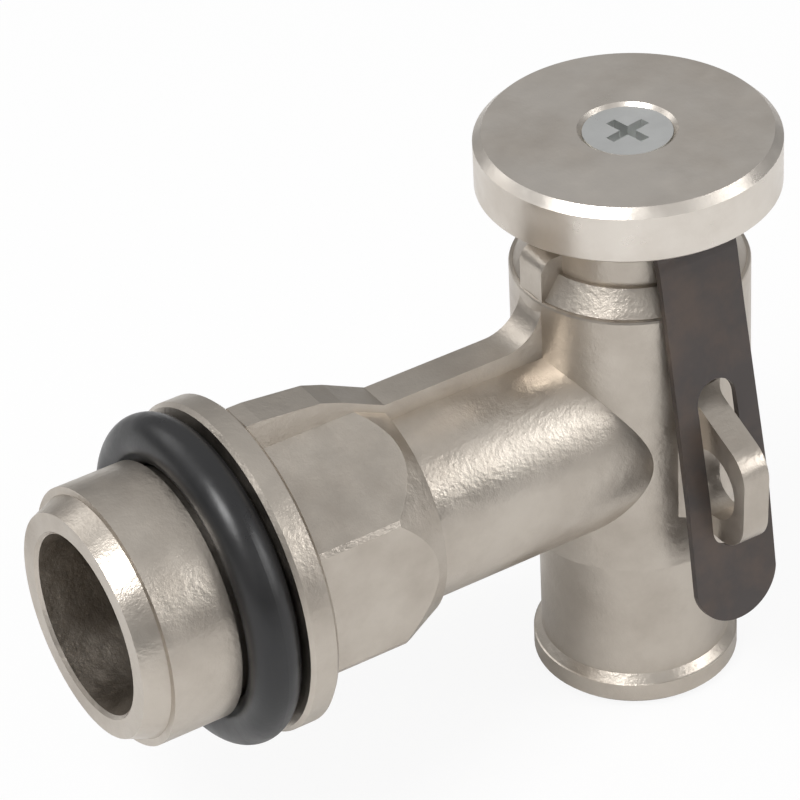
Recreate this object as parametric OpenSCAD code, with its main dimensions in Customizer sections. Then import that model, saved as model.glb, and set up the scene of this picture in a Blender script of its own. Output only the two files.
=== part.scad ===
// Lockable drum tap with a knurled handwheel, a spring strap and a padlock lug.
// Millimetres. X runs along the inlet, Z up the stem, and the strap hangs on the -Y side.
// The origin is on the inlet axis where the full thread starts. Shown closed and locked.

/* [Inlet] */
// outside diameter of the inlet thread
thread_d = 26.44; // [22:0.01:30]
// length of the full thread
thread_len = 7.3; // [5:0.1:10]
// length of the plain pilot in front of the thread
pilot_len = 2.4; // [1.5:0.1:4]
// pilot diameter next to the thread
pilot_d = 24.9; // [21.5:0.1:25]
// pilot diameter at its tip
pilot_tip_d = 23; // [20.5:0.1:24]
// bore of the inlet
inlet_bore_d = 18.5; // [12:0.1:19]
// depth of the inlet bore from the start of the full thread
inlet_bore_depth = 28; // [15:0.5:30]
// chamfer at the mouth of the inlet bore
mouth_chamfer = 0.35; // [0.1:0.05:0.6]

/* [Inlet seal] */
// thickness of the round seal ring
seal_t = 5; // [4:0.1:5.5]
// diameter of the plain seat that the ring sits on
seal_seat_d = 23.9; // [21:0.1:24.3]

/* [Flange and hexagon] */
// flange diameter
flange_d = 34; // [33:0.1:40]
// flange thickness
flange_t = 3.1; // [2:0.1:5]
// rounding of the flange edges
flange_round = 0.4; // [0.2:0.05:0.8]
// hexagon width across flats
hex_af = 25; // [24:0.1:27]
// length from the flange to the end of the hexagon's chamfer
hex_len = 15.2; // [13:0.1:18]
// length of the back chamfer of the hexagon
hex_chamfer_len = 5.2; // [3:0.1:6]
// diameter at which the back chamfer ends
hex_chamfer_end_d = 23.9; // [23.4:0.1:24.6]

/* [Barrel and chamber] */
// barrel diameter
barrel_d = 21.8; // [20:0.1:23]
// distance from the start of the thread to the upright axis
reach = 61.2; // [58:0.1:75]
// chamber diameter
chamber_d = 24; // [23.6:0.1:25]
// height of the chamber's upper edge over the inlet axis
chamber_top = 17.25; // [16:0.05:18]
// width of the narrow ledges below and above the shoulder
ledge = 0.45; // [0.2:0.05:0.6]
// rounding of the chamber's upper edge
chamber_round = 0.3; // [0.1:0.05:0.4]
// chamfer of the neck's upper edge
neck_chamfer = 0.5; // [0.2:0.1:0.8]
// depth of the chamber's lower face under the inlet axis
chamber_bottom = 12.9; // [12.8:0.1:15]
// height of the sloping shoulder
shoulder_rise = 2.5; // [1.5:0.1:3]
// neck diameter
neck_d = 18.8; // [17:0.1:19.4]
// height of the neck's upper face over the inlet axis
neck_top = 24.4; // [23.6:0.1:28]
// bore for the rotor, from the spout up
rotor_bore_d = 16.6; // [16:0.1:17.2]
// height of the rotor bore's roof
roof_z = 13; // [12.6:0.1:14]
// diameter of the inlet port into the rotor bore
port_d = 10; // [8:0.1:10.2]

/* [Flash land] */
// width of the trimmed flash land along the parting plane
land_w = 3.7; // [2.5:0.1:4.5]
// height of the land over the inlet axis along the barrel
land_barrel = 12.7; // [12.2:0.1:12.75]
// distance of the upright land from the upright axis
land_side = 11.75; // [11.7:0.05:11.8]
// height of the land's top over the inlet axis
land_top = 21.8; // [21:0.1:22]
// radius of the inner corner between barrel and chamber
land_fillet = 4.5; // [3:0.1:5.5]
// radius of the land's upper outer corner
land_corner = 1.6; // [1:0.1:2]

/* [Padlock lug] */
// thickness of the lug
lug_t = 3; // [2.4:0.1:3.4]
// distance of the eye from the upright axis
eye_y = 15.75; // [15.6:0.05:16]
// depth of the eye's centre under the inlet axis
eye_drop = 0.9; // [0.5:0.1:1.2]
// eye diameter
eye_d = 7.5; // [6:0.1:7.6]
// radius of the fillets at the lug's root
lug_fillet = 2.4; // [1:0.1:2.5]

/* [Spout] */
// spout tube diameter
spout_d = 19.6; // [19:0.1:20.4]
// depth of the spout's end under the inlet axis
spout_end = 31.2; // [26:0.1:40]
// bead diameter
bead_d = 21.3; // [20.8:0.1:22.5]
// bead height, without its slope
bead_h = 2.3; // [1.5:0.1:4]
// height of the slope above the bead
bead_slope = 0.9; // [0.5:0.1:1.5]
// rounding of the bead's lower edge
bead_round = 0.35; // [0.1:0.05:0.6]

/* [Rotor] */
// running clearance of the rotor and the stem, on the radius
run_gap = 0.05; // [0.03:0.01:0.08]
// depth of the rotor's lower end under the inlet axis
rotor_bottom = 9.6; // [9.2:0.1:11]
// diameter of the passage up the rotor
passage_d = 11.2; // [10.4:0.1:11.4]
// height of the passage's closed end over the inlet axis
passage_top = 5.8; // [5.4:0.1:6.4]
// stem diameter
stem_d = 10; // [9.6:0.1:10.4]
// width across flats of the stem's square end
square_af = 6; // [5.4:0.1:6.4]
// clearance on each side of the square
square_gap = 0.05; // [0.03:0.01:0.08]
// distance of the square's end under the roof of its socket
square_end_gap = 0.3; // [0.1:0.05:0.5]

/* [Rotor seals] */
// thickness of the two rotor rings
ring_t = 1.56; // [1.3:0.02:1.6]
// height of the upper ring over the inlet axis
upper_ring_z = 8.6; // [8.2:0.1:9.5]
// depth of the lower ring under the inlet axis
lower_ring_drop = 7.5; // [7:0.1:7.8]
// thickness of the stem ring
stem_ring_t = 1.32; // [1.1:0.02:1.4]
// height of the stem ring over the inlet axis
stem_ring_z = 16.4; // [15:0.1:17]
// extra width of each ring groove
groove_play = 0.3; // [0.2:0.05:0.4]
// clearance of the rings and the pad from the bore
seal_gap = 0.02; // [0.01:0.01:0.03]
// thickness of the rubber port pad
pad_t = 1.65; // [1.2:0.05:1.7]
// diameter of the rubber port pad
pad_d = 11; // [10.5:0.1:11.2]

/* [Washers] */
// thickness of the thrust washer under the roof
thrust_t = 0.6; // [0.4:0.05:1]
// thickness of the washer on the neck
neck_washer_t = 0.9; // [0.5:0.05:1]
// running clearance above and below the washers
washer_gap = 0.05; // [0.03:0.01:0.08]

/* [Stop pin] */
// stop pin diameter
pin_d = 2; // [1.6:0.1:2.2]
// height of the stop pin over the inlet axis
pin_z = 22; // [21.8:0.1:22.4]
// depth of the stop groove in the stem
stop_depth = 1.15; // [0.8:0.05:1.2]
// clearance of the pin in its groove
pin_gap = 0.05; // [0.03:0.01:0.08]
// angle that the handwheel turns through
turn = 90; // [60:1:90]

/* [Handwheel] */
// handwheel diameter
wheel_d = 30.2; // [26:0.1:40]
// handwheel thickness
wheel_h = 5.8; // [5.4:0.1:9]
// chamfer of the upper rim
wheel_chamfer = 0.85; // [0.4:0.05:1.2]
// chamfer of the lower rim
wheel_lip = 0.25; // [0.1:0.05:0.5]
// depth of the square socket in the underside
socket_depth = 2.7; // [2.2:0.1:2.9]

/* [Screw] */
// screw thread diameter
screw_d = 5; // [4.6:0.1:5.2]
// head diameter
screw_head_d = 8.9; // [8.4:0.1:9.4]
// height of the head's rim
screw_rim = 0.2; // [0.1:0.05:0.3]
// width of the ring left open around the head in its seat
seat_ring = 0.5; // [0.3:0.05:0.7]
// clearance between the head and its seat
seat_gap = 0.03; // [0.02:0.01:0.05]
// length under the head's cone
screw_len = 9.8; // [7:0.1:10.4]
// span of the cross recess
cross_span = 4.8; // [4:0.1:5]
// width of an arm of the cross recess
cross_arm = 1.1; // [0.8:0.1:1.3]
// depth of the cross recess
cross_depth = 2; // [1.5:0.1:2.3]

/* [Strap] */
// width of the strap at its lower leg
strap_w = 9.6; // [9.4:0.1:10.2]
// width of the strap at the bend
strap_top_w = 9.1; // [8.4:0.1:9.3]
// strap thickness
strap_t = 0.75; // [0.6:0.05:0.8]
// distance from the upright axis to the centre of the strap's round upper end
strap_past = 2; // [1.8:0.1:4]
// inner radius of the bend
bend_r = 3.4; // [2.4:0.1:3.6]
// distance from the upright axis to the centre of the bend
bend_y = 7.59; // [7.57:0.01:7.9]
// outward lean of the long leg, in degrees
strap_lean = 11.2; // [10.8:0.1:12]
// length of the long leg below the bend
leg_len = 39.8; // [38:0.1:42]
// length of the leg above the slight set of its lower end
set_from = 25.6; // [24:0.1:27]
// angle by which the lower end is set back towards the body
set_angle = 3.5; // [0.5:0.1:4]
// length of the leg over which it keeps its upper width
taper_from = 6; // [4:0.1:12]
// slot width
slot_w = 4.6; // [4.3:0.1:5.5]
// length of the leg above the slot
slot_from = 12.8; // [12:0.1:13.2]
// slot length
slot_len = 18.4; // [18:0.1:19]

/* [Hidden] */
$fn = 96;
eps = 0.01;

thread_r = thread_d / 2;
seat_x0 = thread_len;
flange_x = seat_x0 + 0.3 + seal_t + 0.15;
hex_x = flange_x + flange_t;
hex_end = hex_x + hex_len;
hex_corner_r = hex_af / sqrt(3);
hex_round_r = hex_corner_r - 0.18;

shoulder_top = chamber_top + shoulder_rise;
rotor_r = rotor_bore_d / 2 - run_gap;
stem_r = stem_d / 2;
stem_hole_r = stem_r + run_gap;
rotor_top = roof_z - thrust_t - washer_gap;
stem_shoulder = neck_top + neck_washer_t + washer_gap;
wheel_z = stem_shoulder + strap_t;
wheel_top = wheel_z + wheel_h;
wheel_r = wheel_d / 2;
square_hole = square_af + 2 * square_gap;
square_top = wheel_z + socket_depth - square_end_gap;

head_r = screw_head_d / 2;
seat_r = head_r + seat_ring;
head_z = wheel_top - seat_ring + seat_gap;
shank_r = screw_d / 2 - 0.05;
shank_top = head_z - (head_r - shank_r);
screw_hole_r = screw_d / 2;
screw_end = shank_top - screw_len;

ring_r = rotor_bore_d / 2 - seal_gap - ring_t / 2;
groove_r = ring_r - ring_t / 2 - seal_gap;
stem_ring_r = stem_hole_r - seal_gap - stem_ring_t / 2;
stem_groove_r = stem_ring_r - stem_ring_t / 2 - seal_gap;
pad_out_r = rotor_bore_d / 2 - seal_gap;
pad_floor_r = pad_out_r - pad_t;

pin_r = pin_d / 2;
stop_r = stem_r - stop_depth;
pin_tip = stop_r + pin_gap;
stop_half = asin((pin_r + pin_gap) / stop_r);

bend_out_r = bend_r + strap_t;
bend_z = wheel_z - bend_out_r;
lug_foot_x = lug_t / 2 + lug_fillet;

// Helpers.

// Cylinder along +X that starts at x.
module bar_x(x, len, r) {
    translate([x, 0, 0]) rotate([0, 90, 0]) cylinder(r = r, h = len);
}

// Cone along +X that starts at x.
module cone_x(x, len, r1, r2) {
    translate([x, 0, 0]) rotate([0, 90, 0]) cylinder(r1 = r1, r2 = r2, h = len);
}

// Moves to the foot of the upright axis.
module at_axis(z = 0) {
    translate([reach, 0, z]) children();
}

// Plain cylinder on the upright axis between two heights.
module post(z0, z1, r) {
    at_axis(z0) cylinder(r = r, h = z1 - z0);
}

// Round ring on the upright axis.
module round_ring(z, r, t) {
    at_axis(z) rotate_extrude() translate([r, 0]) circle(d = t);
}

// Flat washer on the upright axis.
module washer(z, r_in, r_out, t) {
    at_axis(z) difference() {
        cylinder(r = r_out, h = t);
        translate([0, 0, -eps]) cylinder(r = r_in, h = t + 2 * eps);
    }
}

// Body.

// Inlet end as one turned profile: pilot, thread blank, seal seat and flange.
module inlet_end() {
    f = flange_round;
    rotate([0, 90, 0]) rotate_extrude() polygon([
        [0, -pilot_len], [pilot_tip_d / 2, -pilot_len], [pilot_d / 2, 0], [thread_r, 0],
        [thread_r, thread_len], [seal_seat_d / 2, thread_len + 0.2],
        [seal_seat_d / 2, flange_x], [flange_d / 2 - f, flange_x],
        [flange_d / 2, flange_x + f], [flange_d / 2, hex_x - f],
        [flange_d / 2 - f, hex_x], [0, hex_x]
    ]);
}

// Spanner hexagon with its corners up and down and a turned chamfer at the back.
module hexagon_part() {
    intersection() {
        translate([hex_x - eps, 0, 0]) rotate([0, 90, 0])
            cylinder(r = hex_corner_r, h = hex_len + eps, $fn = 6);
        union() {
            bar_x(hex_x - 1, hex_len - hex_chamfer_len + 1, hex_round_r);
            cone_x(hex_end - hex_chamfer_len, hex_chamfer_len, hex_round_r, hex_chamfer_end_d / 2);
        }
    }
}

// Outline of the trimmed flash land in the parting plane, upper half, inlet side.
module land_outline() {
    side_x = reach - land_side;
    difference() {
        union() {
            translate([hex_x, 0]) square([reach - hex_x, land_barrel]);
            polygon([
                [hex_x - eps, 0], [hex_x - eps, flange_d / 2 - flange_round],
                [hex_x + 1.6, flange_d / 2 - flange_round],
                [hex_end - hex_chamfer_len - 1.8, hex_corner_r + 1.4],
                [hex_end - hex_chamfer_len + 0.6, hex_corner_r + 0.5],
                [hex_end, land_barrel], [hex_end, 0]
            ]);
            translate([side_x - land_fillet, 0])
                square([land_side + land_fillet, land_barrel + land_fillet]);
            translate([side_x, 0]) square([land_side, land_top - land_corner]);
            translate([side_x + land_corner, 0]) square([land_side - land_corner, land_top]);
            translate([side_x + land_corner, land_top - land_corner]) circle(r = land_corner);
        }
        translate([side_x - land_fillet, land_barrel + land_fillet]) circle(r = land_fillet);
        translate([side_x - land_fillet - 1, land_barrel + land_fillet])
            square([land_fillet + 1, land_fillet]);
    }
}

// Trimmed flash land: the inlet side, its mirror under the barrel and the far side.
module flash_land() {
    translate([0, land_w / 2, 0]) rotate([90, 0, 0]) linear_extrude(land_w) {
        land_outline();
        intersection() {
            mirror([0, 1]) land_outline();
            translate([0, -chamber_bottom]) square([hex_end, chamber_bottom]);
        }
        translate([0, -flange_d]) intersection() {
            translate([0, flange_d]) mirror([0, 1]) land_outline();
            translate([hex_x - 1, 0]) square([hex_len + 1, flange_d]);
        }
        translate([hex_end - 1, -land_barrel]) square([reach - hex_end + 1, land_barrel]);
        translate([reach, -chamber_bottom]) square([land_side, chamber_bottom + 1]);
        intersection() {
            translate([2 * reach, 0]) mirror([1, 0]) land_outline();
            translate([reach, 0]) square([land_side, land_top]);
        }
    }
}

// Outline of the lug seen along X, drawn with Y to the right and Z up.
module lug_outline() {
    top_c = [-eye_y - 1.85, 2.4 - eye_drop];
    low_c = [-eye_y - 1.5, -2.25 - eye_drop];
    top_r = 3.55;
    low_r = 3.75;
    root_y = -chamber_d / 2 + 0.6;
    union() {
        translate(top_c) circle(r = top_r);
        translate(low_c) circle(r = low_r);
        polygon([
            top_c + top_r * [-1, 0], low_c + low_r * [-1, 0], low_c + low_r * [0, -1],
            [root_y, low_c[1] - low_r], [root_y, 9.15 - eye_drop],
            top_c + top_r * [-0.418, 0.909]
        ]);
    }
}

// Web under the lug: its root spreads into the chamber with a fillet on each side.
module lug_root() {
    face_y = -sqrt(pow(chamber_d / 2, 2) - pow(lug_foot_x, 2));
    tip_y = face_y - lug_fillet;
    linear_extrude(30, center = true) difference() {
        polygon([
            [-lug_foot_x, face_y + 0.3], [lug_foot_x, face_y + 0.3],
            [lug_foot_x, face_y], [lug_t / 2, tip_y], [-lug_t / 2, tip_y], [-lug_foot_x, face_y]
        ]);
        for (s = [-1, 1]) translate([s * lug_foot_x, tip_y]) circle(r = lug_fillet);
    }
}

// Padlock lug with its root, still without the eye.
module lug() {
    at_axis() {
        rotate([90, 0, 90]) linear_extrude(lug_t, center = true) lug_outline();
        intersection() {
            lug_root();
            rotate([90, 0, 90]) linear_extrude(4 * lug_foot_x, center = true) lug_outline();
        }
    }
}

// Chamber, shoulder, neck, spout tube and bead as one turned profile.
module upright() {
    b = bead_d / 2;
    c = chamber_d / 2;
    n = neck_d / 2;
    at_axis() rotate_extrude() polygon([
        [0, -spout_end], [b - bead_round, -spout_end], [b, -spout_end + bead_round],
        [b, -spout_end + bead_h], [b - 0.15, -spout_end + bead_h + 0.1],
        [spout_d / 2, -spout_end + bead_h + bead_slope], [spout_d / 2, -chamber_bottom],
        [c, -chamber_bottom], [c, chamber_top - chamber_round],
        [c - 0.3 * chamber_round, chamber_top - 0.3 * chamber_round],
        [c - chamber_round, chamber_top], [c - ledge, chamber_top],
        [n + ledge, shoulder_top], [n, shoulder_top],
        [n, neck_top - neck_chamfer], [n - neck_chamfer, neck_top], [0, neck_top]
    ]);
}

// Bores of the body, all drilled after forging.
module body_bores() {
    inlet_r = inlet_bore_d / 2;
    m = mouth_chamfer;
    drill = 0.6 * (inlet_r - port_d / 2);
    bar_x(-pilot_len - 1, pilot_len + 1 + inlet_bore_depth, inlet_r);
    cone_x(-pilot_len - eps, m + eps, inlet_r + m, inlet_r);
    cone_x(inlet_bore_depth - eps, drill, inlet_r, port_d / 2);
    bar_x(inlet_bore_depth, reach - inlet_bore_depth, port_d / 2);
    post(-spout_end - 1, roof_z, rotor_bore_d / 2);
    post(roof_z - 1, neck_top + 1, stem_hole_r);
    at_axis(pin_z) rotate([-90, 0, 0]) cylinder(r = pin_r, h = neck_d);
}

module tap_body() {
    color([0.66, 0.62, 0.57]) difference() {
        union() {
            inlet_end();
            hexagon_part();
            bar_x(hex_end - 1, reach - hex_end, barrel_d / 2);
            upright();
            flash_land();
            lug();
        }
        body_bores();
        translate([reach, -eye_y, -eye_drop]) rotate([0, 90, 0])
            cylinder(d = eye_d, h = 4 * lug_foot_x, center = true);
    }
}

// Inlet seal.

module inlet_seal_ring() {
    x = seat_x0 + 0.3 + seal_t / 2;
    color([0.07, 0.07, 0.07]) translate([x, 0, 0]) rotate([0, 90, 0]) rotate_extrude()
        translate([seal_seat_d / 2 + 0.03 + seal_t / 2, 0]) circle(d = seal_t);
}

// Rotor.

// Sector of a disc between two angles, used to cut the stop groove.
module sector(r, a0, a1) {
    steps = 12;
    reach_r = r / cos((a1 - a0) / steps / 2);
    polygon(concat([[0, 0]], [
        for (i = [0:steps]) let (a = a0 + (a1 - a0) * i / steps) reach_r * [cos(a), sin(a)]
    ]));
}

// Groove of the stop pin. The pin stands at +Y, so the groove runs back from there.
module stop_groove() {
    at_axis(pin_z - pin_r - pin_gap) difference() {
        linear_extrude(pin_d + 2 * pin_gap) sector(stem_r + 1, 90 - turn - stop_half, 90 + stop_half);
        translate([0, 0, -1]) cylinder(r = stop_r, h = pin_d + 2);
    }
}

// Ring groove on a shaft of radius r.
module ring_groove(z, root_r, r, t) {
    w = t + groove_play;
    washer(z - w / 2, root_r, r + 1, w);
}

module valve_rotor() {
    color([0.78, 0.68, 0.42]) difference() {
        union() {
            post(-rotor_bottom, rotor_top, rotor_r);
            post(rotor_top - 1, stem_shoulder, stem_r);
            at_axis(stem_shoulder - 1) translate([-square_af / 2, -square_af / 2, 0])
                cube([square_af, square_af, square_top - stem_shoulder + 1]);
        }
        post(-rotor_bottom - 1, passage_top, passage_d / 2);
        at_axis() rotate([-90, 0, 0]) cylinder(r = port_d / 2, h = rotor_bore_d);
        pad_shape(pad_floor_r - seal_gap, rotor_bore_d, pad_d / 2 + seal_gap);
        ring_groove(upper_ring_z, groove_r, rotor_r, ring_t);
        ring_groove(-lower_ring_drop, groove_r, rotor_r, ring_t);
        ring_groove(stem_ring_z, stem_groove_r, stem_r, stem_ring_t);
        post(screw_end - 1, square_top + 1, screw_hole_r);
        stop_groove();
    }
}

// Curved pad between two radii, round when seen from the inlet.
module pad_shape(r_in, r_out, r_round) {
    at_axis() intersection() {
        difference() {
            cylinder(r = r_out, h = 3 * r_round, center = true);
            cylinder(r = r_in, h = 4 * r_round, center = true);
        }
        rotate([0, -90, 0]) cylinder(r = r_round, h = 2 * r_out);
    }
}

module port_seal_pad() {
    color([0.1, 0.1, 0.1]) pad_shape(pad_floor_r, pad_out_r, pad_d / 2);
}

module rotor_upper_seal() {
    color([0.1, 0.1, 0.1]) round_ring(upper_ring_z, ring_r, ring_t);
}

module rotor_lower_seal() {
    color([0.1, 0.1, 0.1]) round_ring(-lower_ring_drop, ring_r, ring_t);
}

module stem_seal() {
    color([0.1, 0.1, 0.1]) round_ring(stem_ring_z, stem_ring_r, stem_ring_t);
}

// Washers and stop pin.

module thrust_washer() {
    color([0.92, 0.92, 0.88])
        washer(roof_z - thrust_t, stem_hole_r + 0.1, rotor_bore_d / 2 - 0.1, thrust_t);
}

// Washer on the neck. It ends where the strap's bend begins.
module neck_washer() {
    color([0.92, 0.92, 0.88])
        washer(neck_top, stem_hole_r + 0.1, bend_y + 0.2, neck_washer_t);
}

module stop_pin() {
    color([0.6, 0.6, 0.62]) at_axis(pin_z) rotate([-90, 0, 0]) translate([0, 0, pin_tip])
        cylinder(r = pin_r - 0.01, h = neck_d / 2 - 0.3 - pin_tip);
}

// Strap.

// Side profile of the bent strip seen along X, with the bend's centre at the origin.
module strap_profile() {
    along = [-sin(strap_lean), -cos(strap_lean)];
    out = [-cos(strap_lean), sin(strap_lean)];
    lower = strap_lean - set_angle;
    lower_along = [-sin(lower), -cos(lower)];
    mitre = strap_t * tan(set_angle / 2);
    set_out = bend_out_r * out + (set_from + mitre) * along;
    set_in = bend_r * out + set_from * along;
    low_len = leg_len - set_from + 2;
    far = bend_y + strap_w;
    difference() {
        union() {
            circle(r = bend_out_r);
            polygon([
                bend_out_r * out, set_out, set_out + low_len * lower_along,
                low_len * lower_along + set_from * along, [far, 0], [far, bend_out_r],
                [0, bend_out_r], [0, 0]
            ]);
        }
        circle(r = bend_r);
        polygon([
            bend_r * out, set_in, set_in + 2 * leg_len * lower_along, [2 * far, -2 * leg_len],
            [2 * far, bend_r], [0, bend_r], [0, 0]
        ]);
    }
}

// Outline of the flat blank below the bend, with the leg lying along -Y from the origin.
module leg_outline() {
    tip_d = strap_w + 0.1;
    tip = -leg_len + tip_d / 2;
    intersection() {
        polygon([
            [-strap_top_w / 2, bend_y + strap_w], [strap_top_w / 2, bend_y + strap_w],
            [strap_top_w / 2, -taper_from], [strap_w / 2, -set_from], [strap_w / 2, -leg_len],
            [-strap_w / 2, -leg_len], [-strap_w / 2, -set_from], [-strap_top_w / 2, -taper_from]
        ]);
        union() {
            translate([0, tip]) circle(d = tip_d);
            translate([-strap_w, tip]) square([2 * strap_w, leg_len + 2 * strap_w]);
        }
    }
}

// Slot for the lug, in the same place as the outline.
module strap_slot() {
    near = -slot_from - slot_w / 2;
    end = -slot_from - slot_len + slot_w / 2;
    translate([0, near]) circle(d = slot_w);
    translate([0, end]) circle(d = slot_w);
    translate([-slot_w / 2, end]) square([slot_w, near - end]);
}

// Stands the flat outline up along the long leg, as a cutter square to it.
module square_to_leg() {
    translate([reach, -bend_y, bend_z]) rotate([-strap_lean, 0, 0]) rotate([90, 0, 0])
        linear_extrude(4 * leg_len, center = true) children();
}

// Seen from above: all of the upper leg, with its round end past the stem.
module upper_outline() {
    translate([0, strap_past]) circle(d = strap_top_w);
    translate([-strap_w, -leg_len]) square([2 * strap_w, leg_len + strap_past]);
}

module locking_strap() {
    color([0.25, 0.23, 0.22]) difference() {
        intersection() {
            translate([reach, -bend_y, bend_z]) rotate([90, 0, 90])
                linear_extrude(2 * strap_w, center = true) strap_profile();
            square_to_leg() leg_outline();
            at_axis(-leg_len) linear_extrude(3 * leg_len) upper_outline();
        }
        at_axis(stem_shoulder - 1) linear_extrude(strap_t + 2) square(square_hole, center = true);
        intersection() {
            square_to_leg() strap_slot();
            translate([reach - strap_w, -bend_y - leg_len, bend_z - 2 * leg_len])
                cube([2 * strap_w, leg_len, 2 * leg_len]);
        }
    }
}

// Handwheel and screw.

module handwheel() {
    c = wheel_chamfer;
    l = wheel_lip;
    color([0.76, 0.73, 0.69]) at_axis(wheel_z) difference() {
        rotate_extrude() polygon([
            [0, 0], [wheel_r - l, 0], [wheel_r, l], [wheel_r, wheel_h - c],
            [wheel_r - c, wheel_h], [0, wheel_h]
        ]);
        translate([-square_hole / 2, -square_hole / 2, -1])
            cube([square_hole, square_hole, socket_depth + 1]);
        cylinder(r = screw_hole_r + 0.1, h = wheel_h + 1);
        translate([0, 0, wheel_h - seat_r])
            cylinder(r1 = 0, r2 = seat_r + 1, h = seat_r + 1);
    }
}

module handwheel_screw() {
    arm = [cross_span, cross_arm, cross_depth + 1];
    color([0.82, 0.83, 0.84]) difference() {
        at_axis(screw_end) rotate_extrude() polygon([
            [0, 0], [shank_r - 0.4, 0], [shank_r, 0.4], [shank_r, shank_top - screw_end],
            [head_r, head_z - screw_end], [head_r, head_z - screw_end + screw_rim],
            [0, head_z - screw_end + screw_rim]
        ]);
        at_axis(head_z + screw_rim - cross_depth) for (a = [10, 100])
            rotate([0, 0, a]) translate([-arm[0] / 2, -arm[1] / 2, 0]) cube(arm);
    }
}

// Assembly.

tap_body();
inlet_seal_ring();
valve_rotor();
port_seal_pad();
rotor_upper_seal();
rotor_lower_seal();
stem_seal();
thrust_washer();
neck_washer();
stop_pin();
locking_strap();
handwheel();
handwheel_screw();
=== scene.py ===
import math

import bpy
from mathutils import Matrix, Vector


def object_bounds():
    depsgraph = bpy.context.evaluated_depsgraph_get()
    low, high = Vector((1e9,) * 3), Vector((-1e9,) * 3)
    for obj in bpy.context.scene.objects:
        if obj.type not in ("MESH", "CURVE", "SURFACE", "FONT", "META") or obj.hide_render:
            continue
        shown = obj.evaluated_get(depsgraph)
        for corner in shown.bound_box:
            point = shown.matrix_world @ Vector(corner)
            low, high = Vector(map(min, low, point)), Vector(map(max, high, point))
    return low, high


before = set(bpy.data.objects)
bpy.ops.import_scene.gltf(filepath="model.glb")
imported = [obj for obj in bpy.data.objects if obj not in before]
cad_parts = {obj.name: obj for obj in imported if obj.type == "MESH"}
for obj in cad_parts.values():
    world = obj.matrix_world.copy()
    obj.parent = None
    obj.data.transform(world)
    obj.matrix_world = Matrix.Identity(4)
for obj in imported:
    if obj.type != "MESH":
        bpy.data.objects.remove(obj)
CAD_BOX = [list(corner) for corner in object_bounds()]
MM = 0.001

# The camera: where it stands in metres, its turn, height and roll in degrees, and its lens in mm.
CAMERA_AT = (-0.135884, -0.284352, 0.244355)
CAMERA_TURN = -30.844
CAMERA_HEIGHT = 35.160
CAMERA_ROLL = -3.124
CAMERA_LENS = 188.122

# The studio: where the lamps aim, the floor under the object, and how much of it is plain white.
LAMP_AIM = (0.04, 0, 0)
FLOOR_GAP = 0.0005
FLOOR_REACH = 3.0
FLOOR_WHITE = 0.9
STUDIO_STRENGTH = 0.6


# Materials. Every one is procedural, in object space, so that it stays on the piece from any side.


def material(name, base, dark, metallic, rough, grain, grain_depth, blotch=90.0, dirt=0.35, fine=2600.0):
    """Metal, rubber or plastic with blotches of two colours, uneven gloss and a fine grain.

    grain, blotch and fine are noise scales, grain_depth is in mm, and dirt is the share of the dark colour."""
    mat = bpy.data.materials.new(name)
    mat.use_nodes = True
    nodes, links = mat.node_tree.nodes, mat.node_tree.links
    shader = nodes["Principled BSDF"]
    shader.inputs["Metallic"].default_value = metallic
    place = nodes.new("ShaderNodeTexCoord").outputs["Object"]

    def noise(scale, detail, roughness=0.6):
        n = nodes.new("ShaderNodeTexNoise")
        n.inputs["Scale"].default_value = scale
        n.inputs["Detail"].default_value = detail
        n.inputs["Roughness"].default_value = roughness
        links.new(place, n.inputs["Vector"])
        return n.outputs["Fac"]

    def ramp(value, low, high, a, b):
        r = nodes.new("ShaderNodeMapRange")
        r.inputs["From Min"].default_value, r.inputs["From Max"].default_value = low, high
        r.inputs["To Min"].default_value, r.inputs["To Max"].default_value = a, b
        links.new(value, r.inputs["Value"])
        return r.outputs["Result"]

    blotches = ramp(noise(blotch, 6), 0.42, 0.75, 0.0, dirt)
    mix = nodes.new("ShaderNodeMix")
    mix.data_type = "RGBA"
    mix.inputs["A"].default_value = (*base, 1)
    mix.inputs["B"].default_value = (*dark, 1)
    links.new(blotches, mix.inputs["Factor"])
    links.new(mix.outputs["Result"], shader.inputs["Base Color"])
    links.new(ramp(noise(blotch * 3, 5), 0.3, 0.7, rough - 0.07, rough + 0.1), shader.inputs["Roughness"])
    bump = nodes.new("ShaderNodeBump")
    bump.inputs["Strength"].default_value = 0.5
    bump.inputs["Distance"].default_value = grain_depth * MM
    links.new(noise(grain, 4, 0.7), bump.inputs["Height"])
    second = nodes.new("ShaderNodeBump")
    second.inputs["Strength"].default_value = 0.4
    second.inputs["Distance"].default_value = grain_depth * MM * 0.5
    links.new(noise(fine, 2), second.inputs["Height"])
    links.new(bump.outputs["Normal"], second.inputs["Normal"])
    links.new(second.outputs["Normal"], shader.inputs["Normal"])
    return mat


FORGED = material("forged_nickel", (0.55, 0.50, 0.44), (0.17, 0.125, 0.09), 1.0, 0.36, 750, 0.12)
MACHINED = material("machined_nickel", (0.68, 0.64, 0.59), (0.30, 0.25, 0.20), 1.0, 0.27, 500, 0.02)
WHEEL = material("plated_wheel", (0.72, 0.67, 0.61), (0.36, 0.29, 0.22), 1.0, 0.33, 900, 0.03)
ZINC = material("zinc_screw", (0.80, 0.81, 0.80), (0.45, 0.45, 0.42), 1.0, 0.33, 1200, 0.03)
SPRING = material("blackened_steel", (0.085, 0.075, 0.072), (0.17, 0.12, 0.09), 0.75, 0.38, 1500, 0.02, 160.0, 0.5)
RUBBER = material("black_rubber", (0.012, 0.012, 0.013), (0.03, 0.028, 0.026), 0.0, 0.34, 1600, 0.02)
PLASTIC = material("white_plastic", (0.80, 0.79, 0.75), (0.65, 0.62, 0.56), 0.0, 0.45, 900, 0.02)
BRASS = material("turned_brass", (0.74, 0.56, 0.28), (0.42, 0.29, 0.13), 1.0, 0.28, 900, 0.02)
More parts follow.
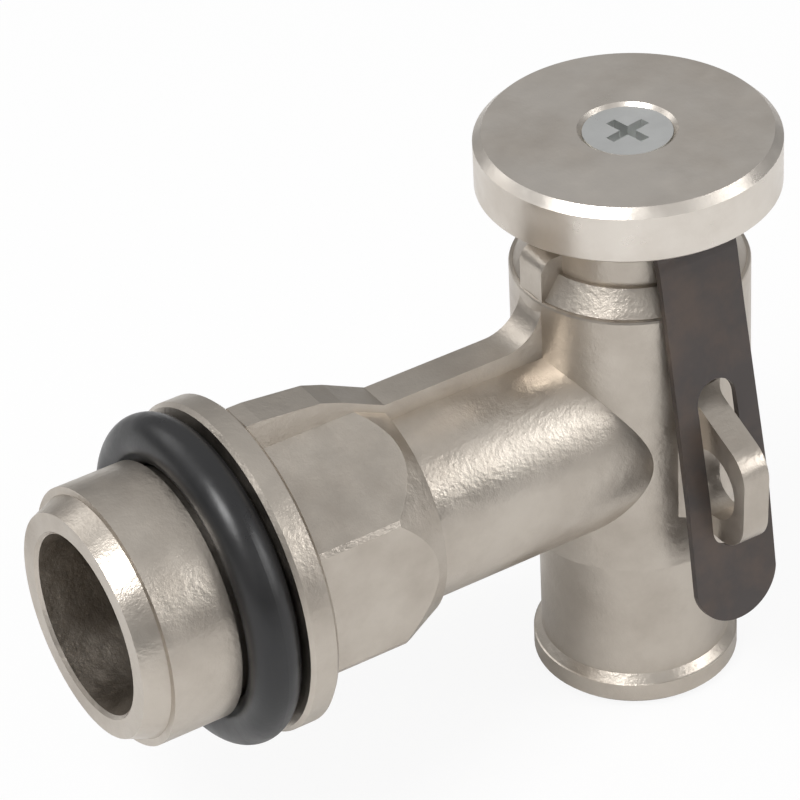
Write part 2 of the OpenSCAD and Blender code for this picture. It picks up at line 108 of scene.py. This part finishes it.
STEEL = material("steel_pin", (0.60, 0.60, 0.61), (0.35, 0.34, 0.33), 1.0, 0.3, 900, 0.02)

CAD_FINISH = {
    "tap_body": FORGED,
    "inlet_seal_ring": RUBBER,
    "valve_rotor": BRASS,
    "port_seal_pad": RUBBER,
    "rotor_upper_seal": RUBBER,
    "rotor_lower_seal": RUBBER,
    "stem_seal": RUBBER,
    "thrust_washer": PLASTIC,
    "neck_washer": PLASTIC,
    "stop_pin": STEEL,
    "locking_strap": SPRING,
    "handwheel": WHEEL,
    "handwheel_screw": ZINC,
}


def finish_cad_nodes():
    """Gives every CAD node its own material."""
    for name, mat in CAD_FINISH.items():
        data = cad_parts[name].data
        if data.materials:
            data.materials[0] = mat
        else:
            data.materials.append(mat)


# Camera, lights, floor and world.


def place_camera():
    """The camera fitted to the photograph: position, turn, height and roll."""
    turn, height, roll = (math.radians(v) for v in (CAMERA_TURN, CAMERA_HEIGHT, CAMERA_ROLL))
    back = Vector((math.sin(turn) * math.cos(height), -math.cos(turn) * math.cos(height), math.sin(height)))
    level = Vector((math.cos(turn), math.sin(turn), 0))
    upright = back.cross(level)
    right = math.cos(roll) * level + math.sin(roll) * upright
    up = -math.sin(roll) * level + math.cos(roll) * upright
    data = bpy.data.cameras.new("camera")
    data.sensor_width = 36
    data.sensor_fit = "HORIZONTAL"
    data.lens = CAMERA_LENS
    data.clip_start = 0.01
    camera = bpy.data.objects.new("camera", data)
    matrix = Matrix((right, up, back)).transposed().to_4x4()
    matrix.translation = Vector(CAMERA_AT)
    camera.matrix_world = matrix
    bpy.context.scene.collection.objects.link(camera)
    bpy.context.scene.camera = camera


def area_light(name, at, size, power):
    """A square soft lamp at a point, turned to the object. Its size is in metres and its power in watts."""
    data = bpy.data.lights.new(name, "AREA")
    data.size = size
    data.energy = power
    lamp = bpy.data.objects.new(name, data)
    lamp.location = at
    lamp.rotation_euler = (Vector(at) - Vector(LAMP_AIM)).to_track_quat("Z", "Y").to_euler()
    bpy.context.scene.collection.objects.link(lamp)


def place_lights():
    area_light("key", (-0.35, -0.15, 0.62), 0.28, 3.2)
    area_light("fill", (0.55, -0.5, 0.35), 0.35, 1.8)
    area_light("back", (-0.25, 0.6, 0.5), 0.4, 0.8)


def place_floor():
    """Pale floor that the camera sees as white, with the object's soft shadow left on it."""
    z = CAD_BOX[0][2] - FLOOR_GAP
    r = FLOOR_REACH
    mesh = bpy.data.meshes.new("floor")
    mesh.from_pydata([(-r, -r, z), (r, -r, z), (r, r, z), (-r, r, z)], [], [(0, 1, 2, 3)])
    floor = bpy.data.objects.new("floor", mesh)
    bpy.context.scene.collection.objects.link(floor)
    mat = bpy.data.materials.new("white_floor")
    mat.use_nodes = True
    nodes, links = mat.node_tree.nodes, mat.node_tree.links
    nodes.remove(nodes["Principled BSDF"])
    paper = nodes.new("ShaderNodeBsdfDiffuse")
    paper.inputs["Color"].default_value = (0.85, 0.85, 0.85, 1)
    white = nodes.new("ShaderNodeEmission")
    white.inputs["Strength"].default_value = 1.0
    path = nodes.new("ShaderNodeLightPath")
    share = nodes.new("ShaderNodeMath")
    share.operation = "MULTIPLY"
    share.inputs[1].default_value = FLOOR_WHITE
    links.new(path.outputs["Is Camera Ray"], share.inputs[0])
    mix = nodes.new("ShaderNodeMixShader")
    links.new(share.outputs[0], mix.inputs["Fac"])
    links.new(paper.outputs[0], mix.inputs[1])
    links.new(white.outputs[0], mix.inputs[2])
    links.new(mix.outputs[0], nodes["Material Output"].inputs["Surface"])
    mesh.materials.append(mat)


def light_world():
    """White to the camera; a soft studio, brighter above, to the metal."""
    world = bpy.data.worlds.new("studio")
    bpy.context.scene.world = world
    world.use_nodes = True
    nodes, links = world.node_tree.nodes, world.node_tree.links
    path = nodes.new("ShaderNodeLightPath")
    seen = nodes.new("ShaderNodeMath")
    seen.operation = "MAXIMUM"
    links.new(path.outputs["Is Camera Ray"], seen.inputs[0])
    links.new(path.outputs["Is Transmission Ray"], seen.inputs[1])
    place = nodes.new("ShaderNodeTexCoord")
    apart = nodes.new("ShaderNodeSeparateXYZ")
    links.new(place.outputs["Generated"], apart.inputs[0])
    height = nodes.new("ShaderNodeMapRange")
    height.interpolation_type = "SMOOTHSTEP"
    height.inputs["From Min"].default_value, height.inputs["From Max"].default_value = -0.2, 0.9
    height.inputs["To Min"].default_value, height.inputs["To Max"].default_value = 0.22, 1.0
    links.new(apart.outputs["Z"], height.inputs["Value"])
    studio = nodes.new("ShaderNodeBackground")
    links.new(height.outputs["Result"], studio.inputs["Color"])
    studio.inputs["Strength"].default_value = STUDIO_STRENGTH
    white = nodes["Background"]
    white.inputs["Color"].default_value = (1, 1, 1, 1)
    white.inputs["Strength"].default_value = 1.0
    mix = nodes.new("ShaderNodeMixShader")
    links.new(seen.outputs[0], mix.inputs["Fac"])
    links.new(studio.outputs[0], mix.inputs[1])
    links.new(white.outputs[0], mix.inputs[2])
    links.new(mix.outputs[0], nodes["World Output"].inputs["Surface"])


finish_cad_nodes()
place_camera()
place_lights()
place_floor()
light_world()
bpy.context.scene.view_settings.view_transform = "Standard"
